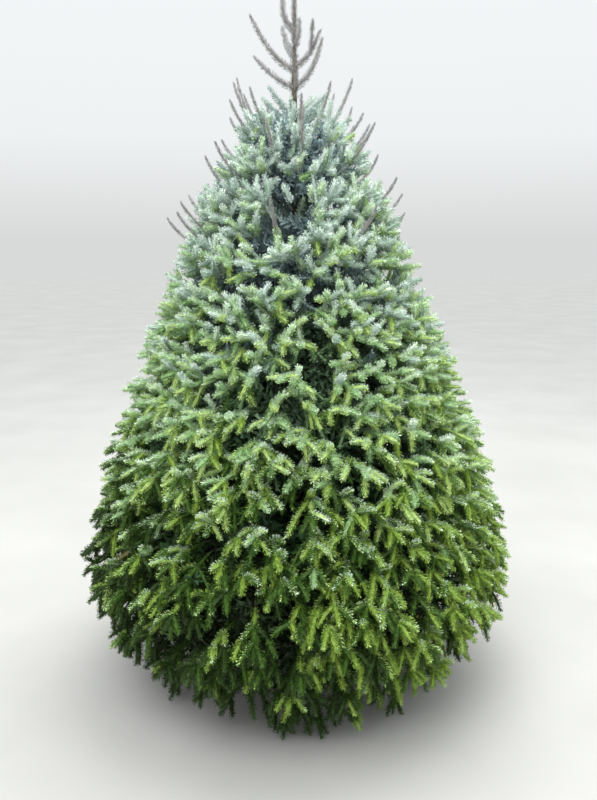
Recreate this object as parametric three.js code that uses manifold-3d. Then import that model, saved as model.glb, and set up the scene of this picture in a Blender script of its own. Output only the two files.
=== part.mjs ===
// A young fir, grown in a field for Christmas and rooted in level ground.
// Millimetres, +Z up. The origin is the centre of the trunk's flat cut at ground level, and -Y is the front.
// One trunk runs up through the crown to the leader. Boughs leave it in storeys, and each carries one mass of
// foliage: a stem, a dense core, and flat sprays of needles that stand out of it to the crown's outline.

import * as THREE from "three";
import { mergeVertices } from "three/addons/utils/BufferGeometryUtils.js";
import Module from "manifold-3d";

const wasm = await Module();
wasm.setup();

// Driving dimensions of the trunk
const TREE_HEIGHT = 2460;
const CREST_HEIGHT = 2085; // where the foliage ends and the bare leader starts
const BUTT_RADIUS = 47;
const CREST_RADIUS = 8.5;
const TIP_RADIUS = 3.5;
const LEAN = 14;
const FLARE = 17;
const FLARE_HEIGHT = 70;
const FLARE_LOBES = 5;
const TRUNK_SIDES = 15;
const TRUNK_RINGS = 12;

// Driving dimensions of the crown: its radius at each height, lowest first
const CROWN_OUTLINE = [
  [20, 560],
  [150, 655],
  [300, 760],
  [420, 790],
  [550, 770],
  [850, 680],
  [1200, 560],
  [1550, 425],
  [1800, 310],
  [1950, 225],
  [2040, 170],
  [2085, 60],
];
const CROWN_SLACK = 1.05; // a shoot may stand this much past the outline

// The faces between storeys are cones round the trunk, with one height at the trunk and one at the crown's edge.
const TRUNK_HEIGHTS = [170, 540, 880, 1180, 1380, 1610, 2085];
const EDGE_HEIGHTS = [-30, 400, 770, 1125, 1490, 1800, 2085];

// Storeys, lowest first
// masses, turn: how many masses it has, and by what share of a mass it is turned.
// rows: sprays in each row of a mass, lowest row first.
// arch: how far a spray arches over (above 0) or sweeps up (below 0).
// blade, tooth: length of a spray's toothed part and of its longest tooth.
// rise, roll: how far a tooth rises as a share of its length, and how far a spray may be rolled, in degrees.
const STOREYS = [
  { name: "hem", masses: 6, turn: 0, rows: [4, 3, 3], arch: 0.3, blade: 190, tooth: 90, rise: -0.5, roll: 35 },
  { name: "low", masses: 6, turn: 0.5, rows: [3, 3, 3], arch: 0.24, blade: 190, tooth: 90, rise: -0.4, roll: 45 },
  { name: "middle", masses: 5, turn: 0.1, rows: [3, 3, 2], arch: 0.1, blade: 185, tooth: 88, rise: -0.2, roll: 60 },
  { name: "high", masses: 4, turn: 0.6, rows: [3, 3, 2], arch: -0.05, blade: 170, tooth: 82, rise: 0.1, roll: 65 },
  { name: "shoulder", masses: 3, turn: 0.2, rows: [3, 3], arch: -0.12, blade: 140, tooth: 74, rise: 0.25, roll: 60 },
  { name: "crest", masses: 3, turn: 0.75, rows: [3, 3], arch: -0.2, blade: 105, tooth: 52, rise: 0.35, roll: 60 },
];
const SPIKES_ACROSS = [-0.8, -0.25, 0.3, 0.85]; // where they stand, from one side of a mass to the other
const SPIKES = { shoulder: 95, crest: 85 }; // the storeys that have bare twigs, and their length
const BOUGHED_STOREYS = 4; // the storeys above these grow on the trunk itself

const GAP = 0.32; // between solids that meet
const SPACE_MARGIN = 4; // between a mass and the faces of its space
const GROUND_CLEARANCE = 12;
const LOWEST_TIP = 22;
const BOUGH_REACH = 0.34; // where a bough ends, as a share of the crown's radius
const CORE_REACH = [0.37, 0.8]; // where a core starts and ends
const TRUNK_CORE_REACH = [0.02, 0.76]; // where a core starts and ends on the trunk itself
const CORE_SQUARENESS = 0.5; // 1 keeps the core an ellipsoid, and less draws it out into its corners
const CORE_FILL = 0.95; // how much of its space's height and width a core fills

// A spray's rings, from its root to its tip: a share of the way along its blade and the length of the tooth there
const SPRAY_RINGS = [
  { at: -1, tooth: 0 },
  { at: 0, tooth: 0 },
  { at: 0.2, tooth: 1 },
  { at: 0.42, tooth: 0 },
  { at: 0.58, tooth: 0.8 },
  { at: 0.78, tooth: 0 },
  { at: 1, tooth: 0 },
];
const TOOTH_SWEEP = 0.3; // how far a tooth leans forward, as a share of its length
const SHORTEST_TOOTH = 0.35;
const TWIG_RADIUS = 6;

// The bare twigs round the leader: height on the trunk, azimuth from +X and rise in degrees, and length
const LEADER_TWIGS = [
  { height: 2102, azimuth: 176, rise: 37, length: 170 },
  { height: 2104, azimuth: -18, rise: 57, length: 178 },
  { height: 2106, azimuth: 88, rise: 46, length: 160 },
  { height: 2158, azimuth: 192, rise: 48, length: 222 },
  { height: 2172, azimuth: 8, rise: 53, length: 146, fork: 95 },
  { height: 2208, azimuth: 118, rise: 50, length: 140 },
  { height: 2240, azimuth: -55, rise: 70, length: 80 },
  { height: 2285, azimuth: 182, rise: 76, length: 145 },
];

const BARK = new THREE.MeshStandardMaterial({ color: 0x6b5a4a, roughness: 0.95, metalness: 0 });
const YOUNG_BARK = new THREE.MeshStandardMaterial({ color: 0x8d8074, roughness: 0.9, metalness: 0 });
const NEEDLE_COLOURS = {
  hem: 0x6f8a3a,
  low: 0x728d42,
  middle: 0x78915a,
  high: 0x7b9672,
  shoulder: 0x7f9d8a,
  crest: 0x86a397,
};

// Random numbers from 0 to 1, the same on every run
function seededRandom(seed) {
  let state = seed;
  return () => {
    state = (Math.imul(state, 1664525) + 1013904223) >>> 0;
    return state / 4294967296;
  };
}
const radians = THREE.MathUtils.degToRad;
const lerp = THREE.MathUtils.lerp;

function crownRadius(height) {
  const next = CROWN_OUTLINE.findIndex((point) => point[0] >= height);
  if (next === 0) return CROWN_OUTLINE[0][1];
  if (next < 0) return CROWN_OUTLINE.at(-1)[1];
  const [lowHeight, lowRadius] = CROWN_OUTLINE[next - 1];
  const [highHeight, highRadius] = CROWN_OUTLINE[next];
  return THREE.MathUtils.mapLinear(height, lowHeight, highHeight, lowRadius, highRadius);
}

// The trunk leans a little to -X as it rises, and its leader stands upright.
const trunkX = (height) => -LEAN * Math.sin((Math.PI / 2) * Math.min(1, height / CREST_HEIGHT) ** 1.5);

function trunkRadius(height) {
  if (height < CREST_HEIGHT) return lerp(BUTT_RADIUS, CREST_RADIUS, height / CREST_HEIGHT);
  return lerp(CREST_RADIUS, TIP_RADIUS, (height - CREST_HEIGHT) / (TREE_HEIGHT - CREST_HEIGHT));
}

// A point from its azimuth in radians, its distance from the trunk's line and its height
function aroundTrunk(azimuth, radius, height) {
  return new THREE.Vector3(trunkX(height) + radius * Math.cos(azimuth), radius * Math.sin(azimuth), height);
}

// A point from its share of the way along a curve, then so far to the side of it and so far above it
function offCurve(curve, share, across, above) {
  const along = curve.getTangentAt(share);
  const side = new THREE.Vector3(along.y, -along.x, 0).normalize();
  const up = new THREE.Vector3().crossVectors(side, along);
  return curve.getPointAt(share).addScaledVector(side, across).addScaledVector(up, above);
}

function toSolid(geometry) {
  const bare = new THREE.BufferGeometry().setAttribute("position", geometry.getAttribute("position"));
  const merged = mergeVertices(bare.setIndex(geometry.index), 1e-3);
  return new wasm.Manifold(
    new wasm.Mesh({
      numProp: 3,
      vertProperties: merged.attributes.position.array,
      triVerts: new Uint32Array(merged.index.array),
    }),
  );
}

function toMesh(name, solid, material) {
  const { numVert, numProp, vertProperties, triVerts } = solid.getMesh();
  const positions = new Float32Array(numVert * 3);
  for (let i = 0; i < numVert; i++)
    positions.set(vertProperties.subarray(i * numProp, i * numProp + 3), i * 3);
  const geometry = new THREE.BufferGeometry()
    .setAttribute("position", new THREE.BufferAttribute(positions, 3))
    .setIndex(new THREE.BufferAttribute(triVerts, 1));
  geometry.computeVertexNormals();
  const mesh = new THREE.Mesh(geometry, material);
  mesh.name = name;
  return mesh;
}

// The largest body of a solid. A scrap that a cut left loose is dropped, and a sealed hollow is filled.
const largestBody = (solid) => solid.decompose().reduce((a, b) => (b.volume() > a.volume() ? b : a));

// Trunk: a cylinder whose rings take its taper, its lean and its lobed root flare. grow makes it fatter all over.
function trunkSolid(grow = 0) {
  const tube = new THREE.CylinderGeometry(1, 1, 1, TRUNK_SIDES, TRUNK_RINGS);
  const position = tube.getAttribute("position");
  for (let i = 0; i < position.count; i++) {
    const height = TREE_HEIGHT * (position.getY(i) + 0.5) ** 1.6; // the rings lie closer together near the ground
    const x = position.getX(i);
    const y = -position.getZ(i);
    const angle = Math.atan2(y, x);
    const flare = FLARE * Math.exp(-height / FLARE_HEIGHT) * (0.65 + 0.35 * Math.cos(FLARE_LOBES * angle));
    const radius = Math.round(Math.hypot(x, y)) * (trunkRadius(height) + flare + grow);
    const place = aroundTrunk(angle, radius, height);
    position.setXYZ(i, place.x, place.y, place.z);
  }
  return toSolid(tube);
}

// Limb: a cylinder laid along a curve, tapering from one radius to another, with a flat face at each end
function limbSolid(curve, startRadius, endRadius, sides, steps) {
  const tube = new THREE.CylinderGeometry(1, 1, 1, sides, steps);
  const position = tube.getAttribute("position");
  for (let i = 0; i < position.count; i++) {
    const share = position.getY(i) + 0.5;
    const radius = lerp(startRadius, endRadius, share);
    const place = offCurve(curve, share, position.getX(i) * radius, position.getZ(i) * radius);
    position.setXYZ(i, place.x, place.y, place.z);
  }
  return toSolid(tube);
}

// The space that a mass keeps to: a sector round the trunk between the two faces of its storey
function massSpace(level, number) {
  const storey = STOREYS[level];
  const halfAngle = Math.PI / storey.masses;
  const azimuth = 2 * halfAngle * (number + storey.turn) - Math.PI / 2;
  const faceAt = (face, radius) =>
    lerp(TRUNK_HEIGHTS[face], EDGE_HEIGHTS[face], radius / crownRadius(EDGE_HEIGHTS[face]));
  const edge = crownRadius((EDGE_HEIGHTS[level] + EDGE_HEIGHTS[level + 1]) / 2);
  const heightAt = (radius, upShare) => lerp(faceAt(level, radius), faceAt(level + 1, radius), upShare);
  const polar = (point) => {
    const x = point.x - trunkX(point.z);
    const turned = Math.atan2(point.y, x) - azimuth;
    const fromMiddle = Math.abs(Math.atan2(Math.sin(turned), Math.cos(turned)));
    const radius = Math.hypot(x, point.y);
    return { radius, inSector: radius * Math.sin(halfAngle - fromMiddle) > SPACE_MARGIN };
  };
  const holds = (point) => {
    const { radius, inSector } = polar(point);
    return (
      inSector &&
      point.z > Math.max(faceAt(level, radius) + SPACE_MARGIN, GROUND_CLEARANCE) &&
      point.z < faceAt(level + 1, radius) - SPACE_MARGIN &&
      radius < crownRadius(point.z) * CROWN_SLACK
    );
  };
  // A bare twig may also stand up out of the crown, where no spray reaches.
  const holdsSpike = (point) => {
    const { radius, inSector } = polar(point);
    const beside = radius > crownRadius(point.z) * CROWN_SLACK + SPACE_MARGIN;
    return holds(point) || (inSector && (beside || point.z > CREST_HEIGHT + SPACE_MARGIN));
  };
  const random = seededRandom(1000 + 10 * level + number);
  const upOrDown = (amount) => (random() * 2 - 1) * amount;
  return { level, storey, halfAngle, azimuth, edge, heightAt, holds, holdsSpike, upOrDown };
}

// Where a bough ends, and the way that it and the stem after it point there
function boughEnd(space) {
  const { azimuth, edge, heightAt } = space;
  const tip = aroundTrunk(azimuth, edge * BOUGH_REACH, heightAt(edge * BOUGH_REACH, 0.5));
  const out = aroundTrunk(azimuth, edge, heightAt(edge, 0.5)).sub(tip).normalize();
  return { tip, out, radius: 9 - space.level };
}

// Bough: one tapering limb from the trunk to the start of its mass
function boughSolid(space, trunkCut) {
  const { tip, out, radius } = boughEnd(space);
  const root = aroundTrunk(space.azimuth, 0, space.heightAt(0, 0.5));
  const bend = tip.clone().addScaledVector(out, -0.5 * tip.distanceTo(root));
  const curve = new THREE.QuadraticBezierCurve3(root, bend, tip);
  return largestBody(limbSolid(curve, radius * 1.5, radius, 5, 2).subtract(trunkCut));
}

// Core: a sphere drawn out into a lump that fills the middle of the mass's space
function coreSolid(space) {
  const ball = new THREE.SphereGeometry(1, 8, 5);
  const position = ball.getAttribute("position");
  const [inner, outer] = space.level < BOUGHED_STOREYS ? CORE_REACH : TRUNK_CORE_REACH;
  const squarer = (value) => (Math.abs(value) < 1e-6 ? 0 : Math.sign(value) * Math.abs(value) ** CORE_SQUARENESS);
  for (let i = 0; i < position.count; i++) {
    const out = squarer(position.getX(i));
    const up = squarer(position.getY(i));
    const aside = squarer(position.getZ(i));
    const lump = 0.94 + 0.06 * Math.sin(7 * up + 5 * aside + 3 * space.azimuth);
    const upShare = (1 + CORE_FILL * up) / 2;
    const edge = crownRadius(lerp(EDGE_HEIGHTS[space.level], EDGE_HEIGHTS[space.level + 1], upShare));
    const radius = edge * lerp(inner, outer * lump, (out + 1) / 2);
    const azimuth = space.azimuth - aside * space.halfAngle * CORE_FILL;
    const place = aroundTrunk(azimuth, radius, space.heightAt(radius, upShare));
    position.setXYZ(i, place.x, place.y, place.z);
  }
  return toSolid(ball);
}

// The line that a spray grows along, from the core to the crown's outline
function sprayLine(space, row, column, columns) {
  const { level, storey, azimuth, halfAngle, edge, heightAt, upOrDown } = space;
  const upShare = 0.5 + 1.1 * ((row + 0.5 + upOrDown(0.24)) / storey.rows.length - 0.5);
  const height = Math.max(lerp(EDGE_HEIGHTS[level], EDGE_HEIGHTS[level + 1], upShare), LOWEST_TIP);
  const across = ((column + 0.5 + upOrDown(0.2)) / columns) * 2 - 1;
  const turned = across * halfAngle * 0.88;
  const tip = aroundTrunk(azimuth + turned, crownRadius(height) * (1 + upOrDown(0.035)), height);
  const rootRadius = edge * (0.5 + upOrDown(0.06));
  const root = aroundTrunk(azimuth + turned * 0.5, rootRadius, heightAt(rootRadius, lerp(0.5, upShare, 0.5)));
  const size = 1 + upOrDown(0.1);
  const roll = upOrDown(radians(storey.roll));
  for (const share of [1, 0.6, 0.2, 0]) {
    const bend = root.clone().lerp(tip, 0.6);
    bend.z += share * storey.arch * 0.8 * root.distanceTo(tip);
    const curve = new THREE.QuadraticBezierCurve3(root, bend, tip);
    if (curve.getPoints(6).every(space.holds)) return { curve, size, roll };
  }
  return null;
}

// Spray: a four-sided tube along a line, drawn out flat into teeth. A tooth that would leave the mass's space is
// cut shorter.
function spraySolid(space, { curve, size, roll }) {
  const { storey, holds } = space;
  const cone = new THREE.ConeGeometry(1, 1, 4, SPRAY_RINGS.length - 1);
  const position = cone.getAttribute("position");
  const length = curve.getLength();
  const blade = Math.min(storey.blade * size, length * 0.8);
  const toothTip = (share, tooth, side) => {
    const base = curve.getPointAt(share);
    const reach = storey.tooth * size * tooth;
    const tip = offCurve(curve, share, side * reach * Math.cos(roll), side * reach * Math.sin(roll));
    tip.addScaledVector(curve.getTangentAt(share), TOOTH_SWEEP * reach);
    tip.z += storey.rise * reach;
    for (let part = 1; part > SHORTEST_TOOTH; part -= 0.1) {
      const point = base.clone().lerp(tip, part);
      if (holds(point)) return point;
    }
    return base.clone().lerp(tip, SHORTEST_TOOTH * 0.5);
  };
  for (let i = 0; i < position.count; i++) {
    const ring = SPRAY_RINGS[Math.round((position.getY(i) + 0.5) * (SPRAY_RINGS.length - 1))];
    const share = ring.at < 0 ? 0 : 1 - ((1 - ring.at) * blade) / length;
    const angle = Math.atan2(position.getX(i), position.getZ(i));
    const side = Math.round(Math.sin(angle));
    const onLine = ring.at === 1 || Math.hypot(position.getX(i), position.getZ(i)) < 1e-6;
    const radius = onLine ? 0 : TWIG_RADIUS;
    const place =
      ring.tooth > 0 && side !== 0
        ? toothTip(share, ring.tooth, side)
        : offCurve(curve, share, Math.sin(angle - roll) * radius, Math.cos(angle - roll) * radius);
    position.setXYZ(i, place.x, place.y, place.z);
  }
  return toSolid(cone);
}

// Spike: a bare twig that stands up out of the top of the crown
function spikeSolid(space, across) {
  const { storey, azimuth, halfAngle, level, upOrDown } = space;
  const length = SPIKES[storey.name];
  const height = lerp(EDGE_HEIGHTS[level], EDGE_HEIGHTS[level + 1], 0.5 + upOrDown(0.25));
  const turned = azimuth + across * halfAngle * 0.7;
  const radius = crownRadius(height);
  const root = aroundTrunk(turned, radius * 0.55, height - length);
  const knee = aroundTrunk(turned, radius * 0.98, height);
  const tip = aroundTrunk(turned, radius * 1.12 + 22, height + length);
  const curve = new THREE.QuadraticBezierCurve3(root, knee, tip);
  return curve.getPoints(8).every(space.holdsSpike) ? limbSolid(curve, 5, 2, 3, 2) : null;
}

// Mass: its stem, its core and all that stands out of the core
function massSolid(space, trunkCut) {
  const pieces = [coreSolid(space)];
  if (space.level < BOUGHED_STOREYS) {
    const { tip, out, radius } = boughEnd(space);
    const start = tip.clone().addScaledVector(out, GAP);
    const end = tip.clone().addScaledVector(out, space.edge * 0.2);
    pieces.push(limbSolid(new THREE.LineCurve3(start, end), radius, radius * 0.7, 4, 1));
  }
  space.storey.rows.forEach((columns, row) => {
    for (let column = 0; column < columns; column++) {
      const line = sprayLine(space, row, column, columns);
      if (line) pieces.push(spraySolid(space, line));
    }
  });
  if (space.storey.name in SPIKES)
    for (const across of SPIKES_ACROSS) {
      const spike = spikeSolid(space, across);
      if (spike) pieces.push(spike);
    }
  return largestBody(pieces.reduce((a, b) => a.add(b)).subtract(trunkCut));
}

// Leader twig: a bare limb that leaves the leader level and sweeps up, with a side twig where it forks
function leaderTwigSolid({ height, azimuth, rise, length, fork }, trunkCut) {
  const turned = radians(azimuth);
  const root = aroundTrunk(turned, 0, height);
  const knee = aroundTrunk(turned, length * 0.35, height + length * 0.12);
  const tip = aroundTrunk(turned, length * Math.cos(radians(rise)), height + length * Math.sin(radians(rise)));
  const curve = new THREE.QuadraticBezierCurve3(root, knee, tip);
  let twig = limbSolid(curve, 6.5, 2.5, 4, 3);
  if (fork) {
    const base = curve.getPointAt(0.6);
    const out = new THREE.Vector3(Math.sin(turned) * 0.4, -Math.cos(turned) * 0.4, 0.9).normalize();
    const end = base.clone().addScaledVector(out, fork);
    twig = twig.add(limbSolid(new THREE.LineCurve3(base, end), 3.6, 2, 3, 1));
  }
  return largestBody(twig.subtract(trunkCut));
}

const tree = new THREE.Group();
const trunkCut = trunkSolid(GAP);
tree.add(toMesh("trunk", trunkSolid(), BARK));
STOREYS.forEach((storey, level) => {
  const needles = new THREE.MeshStandardMaterial({ color: NEEDLE_COLOURS[storey.name], roughness: 0.6, metalness: 0 });
  for (let number = 0; number < storey.masses; number++) {
    const space = massSpace(level, number);
    const place = `${storey.name}_${number + 1}`;
    if (level < BOUGHED_STOREYS) tree.add(toMesh(`bough_${place}`, boughSolid(space, trunkCut), BARK));
    tree.add(toMesh(`foliage_${place}`, massSolid(space, trunkCut), needles));
  }
});
LEADER_TWIGS.forEach((twig, i) => {
  tree.add(toMesh(`leader_twig_${i + 1}`, leaderTwigSolid(twig, trunkCut), YOUNG_BARK));
});

export default tree;
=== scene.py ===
# %% [markdown]
# A field-grown fir, dressed with bark, twigs and needles
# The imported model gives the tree's trunk, its boughs and the space that each mass of foliage keeps to. This
# lesson turns those plain solids into a living fir. The wood is modelled as one would by hand, and the
# hundreds of thousands of needles are worked out with arrays, because no hand could place them.

import math
import random

import bpy
import numpy as np
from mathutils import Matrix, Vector


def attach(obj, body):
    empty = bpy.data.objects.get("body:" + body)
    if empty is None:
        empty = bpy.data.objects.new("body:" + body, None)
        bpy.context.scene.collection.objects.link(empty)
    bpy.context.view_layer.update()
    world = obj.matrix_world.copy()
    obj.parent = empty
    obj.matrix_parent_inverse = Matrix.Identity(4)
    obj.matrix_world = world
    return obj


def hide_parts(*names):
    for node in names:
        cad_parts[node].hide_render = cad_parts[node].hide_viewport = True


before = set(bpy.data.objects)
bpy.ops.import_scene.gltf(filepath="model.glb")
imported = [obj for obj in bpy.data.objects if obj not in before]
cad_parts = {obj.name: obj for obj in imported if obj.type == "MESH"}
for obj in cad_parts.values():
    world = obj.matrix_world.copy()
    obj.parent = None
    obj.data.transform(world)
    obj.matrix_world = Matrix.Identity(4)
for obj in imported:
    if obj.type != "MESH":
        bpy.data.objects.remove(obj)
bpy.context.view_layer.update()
bpy.ops.object.select_all(action="DESELECT")
foliage_nodes = sorted(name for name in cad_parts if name.startswith("foliage_"))
bough_nodes = sorted(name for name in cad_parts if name.startswith("bough_"))
leader_nodes = sorted(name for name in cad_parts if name.startswith("leader_twig_"))
print("masses", len(foliage_nodes), "boughs", len(bough_nodes), "leader twigs", len(leader_nodes))

# %% [markdown]
# The camera
# The picture was taken by someone standing in front of the tree, at a grown person's eye height, with the
# lens tipped down a little. Setting the camera first means that every later step can be judged in the right
# view. The lens is a mild wide angle, which makes the low boughs come forward.

# %% Camera
EYE_HEIGHT = 1.6
EYE_DISTANCE = 2.8
PITCH_DOWN = math.radians(11.6)
LENS_MM = 35.1
SENSOR_MM = 36

camera = bpy.data.objects.new("camera", bpy.data.cameras.new("camera"))
bpy.context.scene.collection.objects.link(camera)
camera.location = (0, -EYE_DISTANCE, EYE_HEIGHT)
camera.rotation_euler = (math.pi / 2 - PITCH_DOWN, 0, 0)
camera.data.lens = LENS_MM
camera.data.sensor_width = SENSOR_MM
bpy.context.scene.camera = camera
print("camera at", tuple(camera.location))

# %% [markdown]
# Shader sums as plain expressions
# A procedural finish is mostly arithmetic on masks. Adding Math nodes one by one hides that arithmetic, so a
# small class wraps a node's output and lets Python's own operators add the nodes.

# %% Finish, a material and a short way to add its nodes
def colour(hex_code):
    """A colour as four linear numbers, from its usual six-digit code."""
    values = [int(hex_code[i : i + 2], 16) / 255 for i in (0, 2, 4)]
    return (*[v / 12.92 if v <= 0.04045 else ((v + 0.055) / 1.055) ** 2.4 for v in values], 1)


class Value:
    """A node's output that takes part in sums."""

    def __init__(self, finish, socket):
        self.finish = finish
        self.socket = socket

    def sum(self, operation, first, second):
        return self.finish.node("ShaderNodeMath", {"operation": operation}, {0: first, 1: second})

    def __add__(self, other):
        return self.sum("ADD", self, other)

    def __radd__(self, other):
        return self.sum("ADD", other, self)

    def __mul__(self, other):
        return self.sum("MULTIPLY", self, other)

    def __rmul__(self, other):
        return self.sum("MULTIPLY", other, self)


class NodeTree:
    """Adds nodes to a node tree, each in one call."""

    def __init__(self, tree):
        self.tree = tree

    def feed(self, socket, value):
        if isinstance(value, Value):
            self.tree.links.new(value.socket, socket)
        else:
            socket.default_value = value

    def node(self, kind, settings=None, sockets=None, output=0):
        node = self.tree.nodes.new(kind)
        for key, value in (settings or {}).items():
            if key == "stops":
                ramp = node.color_ramp.elements
                while len(ramp) < len(value):
                    ramp.new(0.5)
                for element, (at, stop_colour) in zip(ramp, value):
                    element.position = at
                    element.color = stop_colour
            else:
                setattr(node, key, value)
        for key, value in (sockets or {}).items():
            self.feed(node.inputs[key], value)
        return Value(self, node.outputs[output])

    def ramp(self, factor, *stops):
        return self.node("ShaderNodeValToRGB", {"stops": stops}, {"Fac": factor})


class Finish(NodeTree):
    """A material, its main shader and its place on the piece."""

    def __init__(self, name, **constants):
        self.material = bpy.data.materials.new(name)
        self.material.use_nodes = True
        super().__init__(self.material.node_tree)
        self.shader = self.tree.nodes["Principled BSDF"]
        self.place = self.node("ShaderNodeTexCoord", output="Object")
        for socket, value in constants.items():
            self.shader.inputs[socket.replace("_", " ")].default_value = value

    def noise(self, scale, detail=3, stretch=(1, 1, 1)):
        place = self.node("ShaderNodeMapping", {}, {"Vector": self.place, "Scale": stretch})
        return self.node("ShaderNodeTexNoise", {}, {"Vector": place, "Scale": scale, "Detail": detail})

    def set(self, **links):
        for socket, value in links.items():
            self.feed(self.shader.inputs[socket.replace("_", " ")], value)
        return self.material

    def relief(self, height, depth, strength=1.0):
        return self.node("ShaderNodeBump", {}, {"Height": height, "Distance": depth, "Strength": strength})


print("shader helpers ready")

# %% [markdown]
# The light
# Under an overcast sky the light comes from the whole of the sky at once, so shadows are soft, the tops of
# the shoots are bright and the inside of the crown is nearly black. The world is therefore brightest
# overhead and falls off to the horizon, where it meets the floor softly. Two large soft lamps model the
# front and top.

# %% World and lamps
SKY_STOPS = [
    (0.0, (0.69, 0.7, 0.695, 1)),
    (0.12, (0.86, 0.88, 0.89, 1)),
    (0.35, (0.92, 0.94, 0.96, 1)),
    (0.85, (2.05, 2.12, 2.18, 1)),
]
LAMPS = [
    dict(name="sky_panel", place=(-1.2, -3.2, 5.2), aim=(0, 0, 1.0), size=3.5, watts=170),
    dict(name="top_panel", place=(1.0, 1.0, 6.0), aim=(0, 0, 1.4), size=4.0, watts=240),
]

world = bpy.data.worlds.new("overcast")
world.use_nodes = True
sky = NodeTree(world.node_tree)
direction = sky.node("ShaderNodeTexCoord", output="Generated")
upright = sky.node("ShaderNodeSeparateXYZ", {}, {"Vector": direction}, "Z")
sky.feed(world.node_tree.nodes["Background"].inputs["Color"], sky.ramp(upright, *SKY_STOPS))
bpy.context.scene.world = world
for row in LAMPS:
    lamp = bpy.data.objects.new(row["name"], bpy.data.lights.new(row["name"], "AREA"))
    lamp.data.size = row["size"]
    lamp.data.energy = row["watts"]
    lamp.location = row["place"]
    lamp.rotation_euler = (Vector(row["aim"]) - lamp.location).to_track_quat("-Z", "Y").to_euler()
    bpy.context.scene.collection.objects.link(lamp)
bpy.context.scene.view_settings.view_transform = "Standard"
print("lamps", len(LAMPS))

# %% [markdown]
# The floor
# The tree is shown on a plain pale floor, so that nothing competes with it and its hem reads clearly.

# %% Floor
FLOOR_SIZE = 60

bpy.ops.mesh.primitive_plane_add(size=FLOOR_SIZE)
floor = bpy.context.object
floor.name = "floor"
floor_finish = Finish("pale_floor", Roughness=0.9)
mottle = floor_finish.noise(1.5)
floor.data.materials.append(
    floor_finish.set(Base_Color=floor_finish.ramp(mottle, (0.3, colour("a5a4a0")), (0.7, colour("acaba7"))))
)
bpy.ops.object.select_all(action="DESELECT")
print("floor", FLOOR_SIZE, "m")

# %% [markdown]
# The tree's driving dimensions
# These are the same named sizes as in the model's own source, in metres. The trunk and the crown's outline
# decide where everything may grow, so the fine twigs follow the same rule as the solids. The outline gives
# the crown's radius at each height.

# %% Sizes of the trunk and the crown
TREE_HEIGHT = 2.46
CREST_HEIGHT = 2.085
WIDEST_HEIGHT = 0.42
BUTT_RADIUS = 0.047
CREST_RADIUS = 0.0085
TIP_RADIUS = 0.0035
LEAN = 0.014
LEAN_CURVE = 1.5
CROWN_OUTLINE = [
    (0.02, 0.56),
    (0.15, 0.655),
    (0.3, 0.76),
    (WIDEST_HEIGHT, 0.79),
    (0.55, 0.77),
    (0.85, 0.68),
    (1.2, 0.56),
    (1.55, 0.425),
    (1.8, 0.31),
    (1.95, 0.225),
    (2.04, 0.17),
    (CREST_HEIGHT, 0.06),
]


def between(start, end, share):
    return start + (end - start) * share


def crown_radius(height):
    heights, radii = zip(*CROWN_OUTLINE)
    return float(np.interp(height, heights, radii))


def trunk_x(height):
    return -LEAN * math.sin(math.pi / 2 * min(1, max(height, 0) / CREST_HEIGHT) ** LEAN_CURVE)


def trunk_radius(height):
    if height < CREST_HEIGHT:
        return between(BUTT_RADIUS, CREST_RADIUS, height / CREST_HEIGHT)
    return between(CREST_RADIUS, TIP_RADIUS, (height - CREST_HEIGHT) / (TREE_HEIGHT - CREST_HEIGHT))


def around_trunk(azimuth, radius, height):
    return Vector((trunk_x(height) + radius * math.cos(azimuth), radius * math.sin(azimuth), height))


def wrapped(angle):
    """The same direction as an angle between minus and plus half a turn."""
    return math.atan2(math.sin(angle), math.cos(angle))


print("crown", 2 * crown_radius(WIDEST_HEIGHT), "m across,", TREE_HEIGHT, "m high")

# %% [markdown]
# The trunk
# A young fir has one straight trunk from the ground to the leader. By hand it is a circle that is extruded
# upwards ring by ring, and each ring is scaled to the taper. The root flare is made by pulling the lowest
# rings out into a few lobes. This keeps the rings even, so the bark's relief can be pushed out of the
# surface.

# %% Trunk
TRUNK_SIDES = 40
TRUNK_RINGS = 60
RING_CROWDING = 1.35


def edit_mode():
    bpy.ops.object.mode_set(mode="EDIT")


def object_mode():
    bpy.ops.object.mode_set(mode="OBJECT")


def apply_modifiers(piece):
    bpy.context.view_layer.objects.active = piece
    for modifier in list(piece.modifiers):
        bpy.ops.object.modifier_apply(modifier=modifier.name)


def settle(piece, name):
    """Names a piece and brings its place into its mesh."""
    piece.name = name
    piece.data.name = name
    bpy.ops.object.select_all(action="DESELECT")
    piece.select_set(True)
    bpy.context.view_layer.objects.active = piece
    bpy.ops.object.transform_apply(location=True, rotation=True, scale=True)
    piece.select_set(False)
    return piece


bpy.ops.mesh.primitive_circle_add(
    vertices=TRUNK_SIDES, radius=trunk_radius(0), fill_type="NGON", location=(trunk_x(0), 0, 0)
)
trunk = bpy.context.object
edit_mode()
height = 0
for ring in range(1, TRUNK_RINGS + 1):
    next_height = TREE_HEIGHT * (ring / TRUNK_RINGS) ** RING_CROWDING
    step = (trunk_x(next_height) - trunk_x(height), 0, next_height - height)
    bpy.ops.mesh.extrude_region_move(TRANSFORM_OT_translate={"value": step})
    narrower = trunk_radius(next_height) / trunk_radius(height)
    bpy.ops.transform.resize(
        value=(narrower, narrower, 1), center_override=(trunk_x(next_height), 0, next_height)
    )
    height = next_height
bpy.ops.mesh.select_all(action="SELECT")
bpy.ops.mesh.normals_make_consistent(inside=False)
object_mode()
print("trunk rings", TRUNK_RINGS, "faces", len(trunk.data.polygons))

# %% Root flare
# The lobes are pulled out one at a time, in steps, as if the trunk were soft clay: each step takes in less of
# the trunk's height, so a lobe runs out to a fine edge at its top.
FLARE = 0.017
FLARE_HEIGHT = 0.07
FLARE_LOBES = 5
FLARE_RISE = 2.2
FLARE_PULL = 0.24
FLARE_STEPS = (1, 0.6, 0.35, 0.2)

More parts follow.
